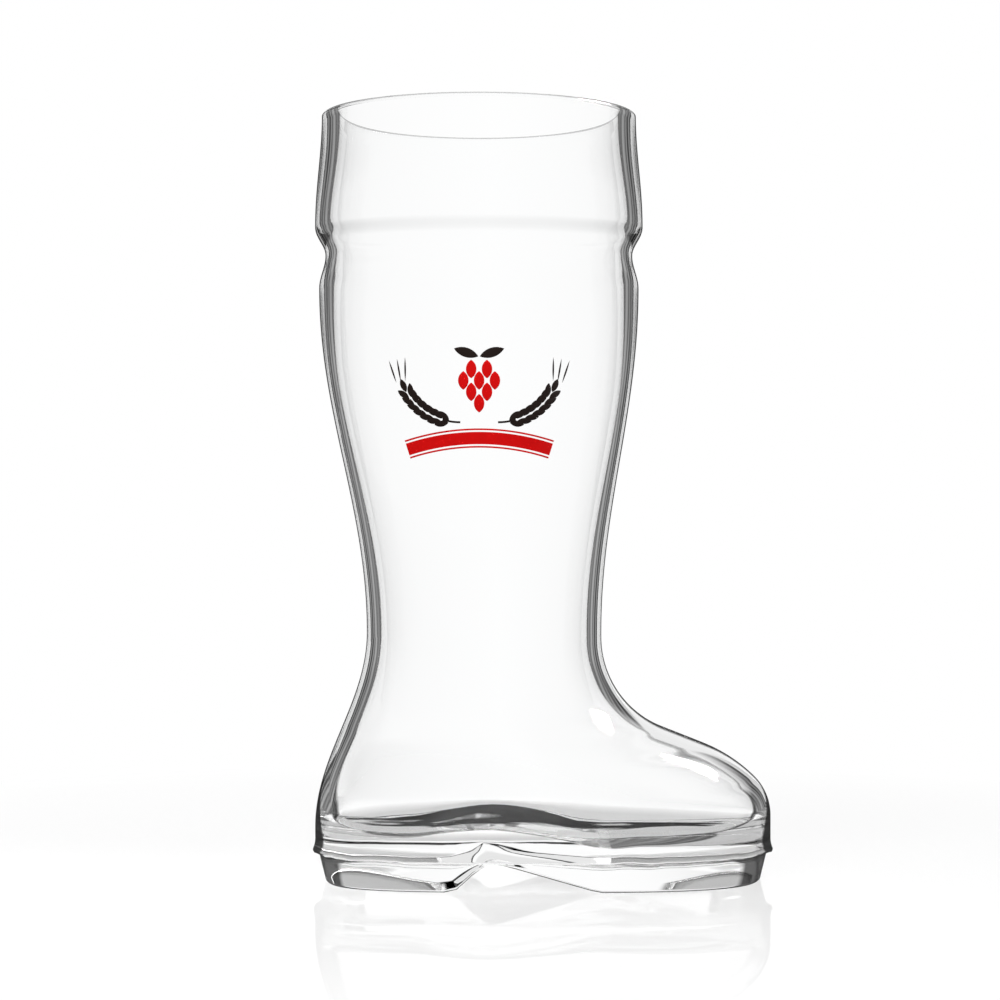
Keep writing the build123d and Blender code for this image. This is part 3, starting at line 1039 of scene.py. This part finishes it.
def add_lamp(name, place, target, size, energy, mirrored):
    """A soft lamp at a place, turned to a target. Only a mirrored one shows in the glass."""
    lamp = bpy.data.lights.new(name, "AREA")
    lamp.shape = "RECTANGLE"
    lamp.size, lamp.size_y = size
    lamp.energy = energy
    holder = bpy.data.objects.new(name, lamp)
    holder.location = place
    holder.rotation_mode = "QUATERNION"
    holder.rotation_quaternion = (Vector(target) - Vector(place)).to_track_quat("-Z", "Y")
    holder.visible_glossy = mirrored
    holder.visible_diffuse = not mirrored
    holder.visible_transmission = False
    bpy.context.scene.collection.objects.link(holder)


def make_camera():
    """Level with the middle of the leg, at the distance and lens of the photograph."""
    camera = bpy.data.cameras.new("photo_view")
    camera.lens = CAMERA_LENS
    camera.sensor_width = CAMERA_SENSOR
    camera.dof.use_dof = False
    holder = bpy.data.objects.new("photo_view", camera)
    holder.location = CAMERA_PLACE
    holder.rotation_euler = (pi / 2, 0, 0)
    bpy.context.scene.collection.objects.link(holder)
    bpy.context.scene.camera = holder


# Operators and panel


class BOOT_OT_blow_glass(bpy.types.Operator):
    """Make the hollow glass boot, one skin of glass from the sole over the rim to the inside floor"""

    bl_idname = "boot_glass.blow_glass"
    bl_label = "Blow Glass Boot"

    def execute(self, context):
        material = glass_material(context.scene.boot_colours.glass)
        boot = finished_piece("boot_glass", boot_tree(material), context.scene.boot_sizes)
        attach(boot, "root")
        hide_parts("glass_upper", "glass_heel", "glass_sole")
        return {"FINISHED"}


class BOOT_OT_print_red(bpy.types.Operator):
    """Print the hop cone and the ribbon on the leg"""

    bl_idname = "boot_glass.print_red"
    bl_label = "Print Hop and Ribbon"

    def execute(self, context):
        material = enamel_material("red_enamel", context.scene.boot_colours.red_enamel)
        sizes = (context.scene.boot_sizes, context.scene.boot_print)
        emblem = finished_piece("hop_and_ribbon_print", red_tree(material), *sizes)
        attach(emblem, "root")
        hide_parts("red_print")
        return {"FINISHED"}


class BOOT_OT_print_dark(bpy.types.Operator):
    """Print the ears of barley and the leaves on the leg"""

    bl_idname = "boot_glass.print_dark"
    bl_label = "Print Barley and Leaves"

    def execute(self, context):
        material = enamel_material("dark_enamel", context.scene.boot_colours.dark_enamel)
        sizes = (context.scene.boot_sizes, context.scene.boot_print)
        emblem = finished_piece("barley_print", dark_tree(material), *sizes)
        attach(emblem, "root")
        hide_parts("dark_print")
        return {"FINISHED"}


class BOOT_OT_set_stage(bpy.types.Operator):
    """Make the white floor, the studio round it, the lamps and the camera"""

    bl_idname = "boot_glass.set_stage"
    bl_label = "Set White Stage"

    def execute(self, context):
        tint = context.scene.boot_colours.studio
        make_world(tint)
        make_floor(tint)
        for lamp in LAMPS:
            add_lamp(*lamp)
        make_camera()
        context.scene.view_settings.view_transform = "Standard"
        return {"FINISHED"}


class BOOT_PT_panel(bpy.types.Panel):
    """Lists the pieces of the boot glass with their sizes and colours"""

    bl_label = "Beer Boot Glass"
    bl_idname = "BOOT_PT_panel"
    bl_space_type = "VIEW_3D"
    bl_region_type = "UI"
    bl_category = "Boot Glass"

    def draw(self, context):
        for operator in OPERATORS:
            self.layout.operator(operator.bl_idname)
        for group in (context.scene.boot_colours, context.scene.boot_sizes, context.scene.boot_print):
            box = self.layout.box()
            for key in type(group).__annotations__:
                box.prop(group, key)


GROUPS = {"boot_sizes": BootGlassSizes, "boot_print": BootPrintSizes, "boot_colours": BootColours}
OPERATORS = (BOOT_OT_blow_glass, BOOT_OT_print_red, BOOT_OT_print_dark, BOOT_OT_set_stage)


def register():
    for group in (*GROUPS.values(), *OPERATORS, BOOT_PT_panel):
        bpy.utils.register_class(group)
    for name, group in GROUPS.items():
        setattr(bpy.types.Scene, name, PointerProperty(type=group))


def unregister():
    for name in GROUPS:
        delattr(bpy.types.Scene, name)
    for group in (BOOT_PT_panel, *reversed(OPERATORS), *reversed(GROUPS.values())):
        bpy.utils.unregister_class(group)


def main():
    register()
    bpy.ops.boot_glass.blow_glass()
    bpy.ops.boot_glass.print_red()
    bpy.ops.boot_glass.print_dark()
    bpy.ops.boot_glass.set_stage()


if __name__ == "__main__":
    main()
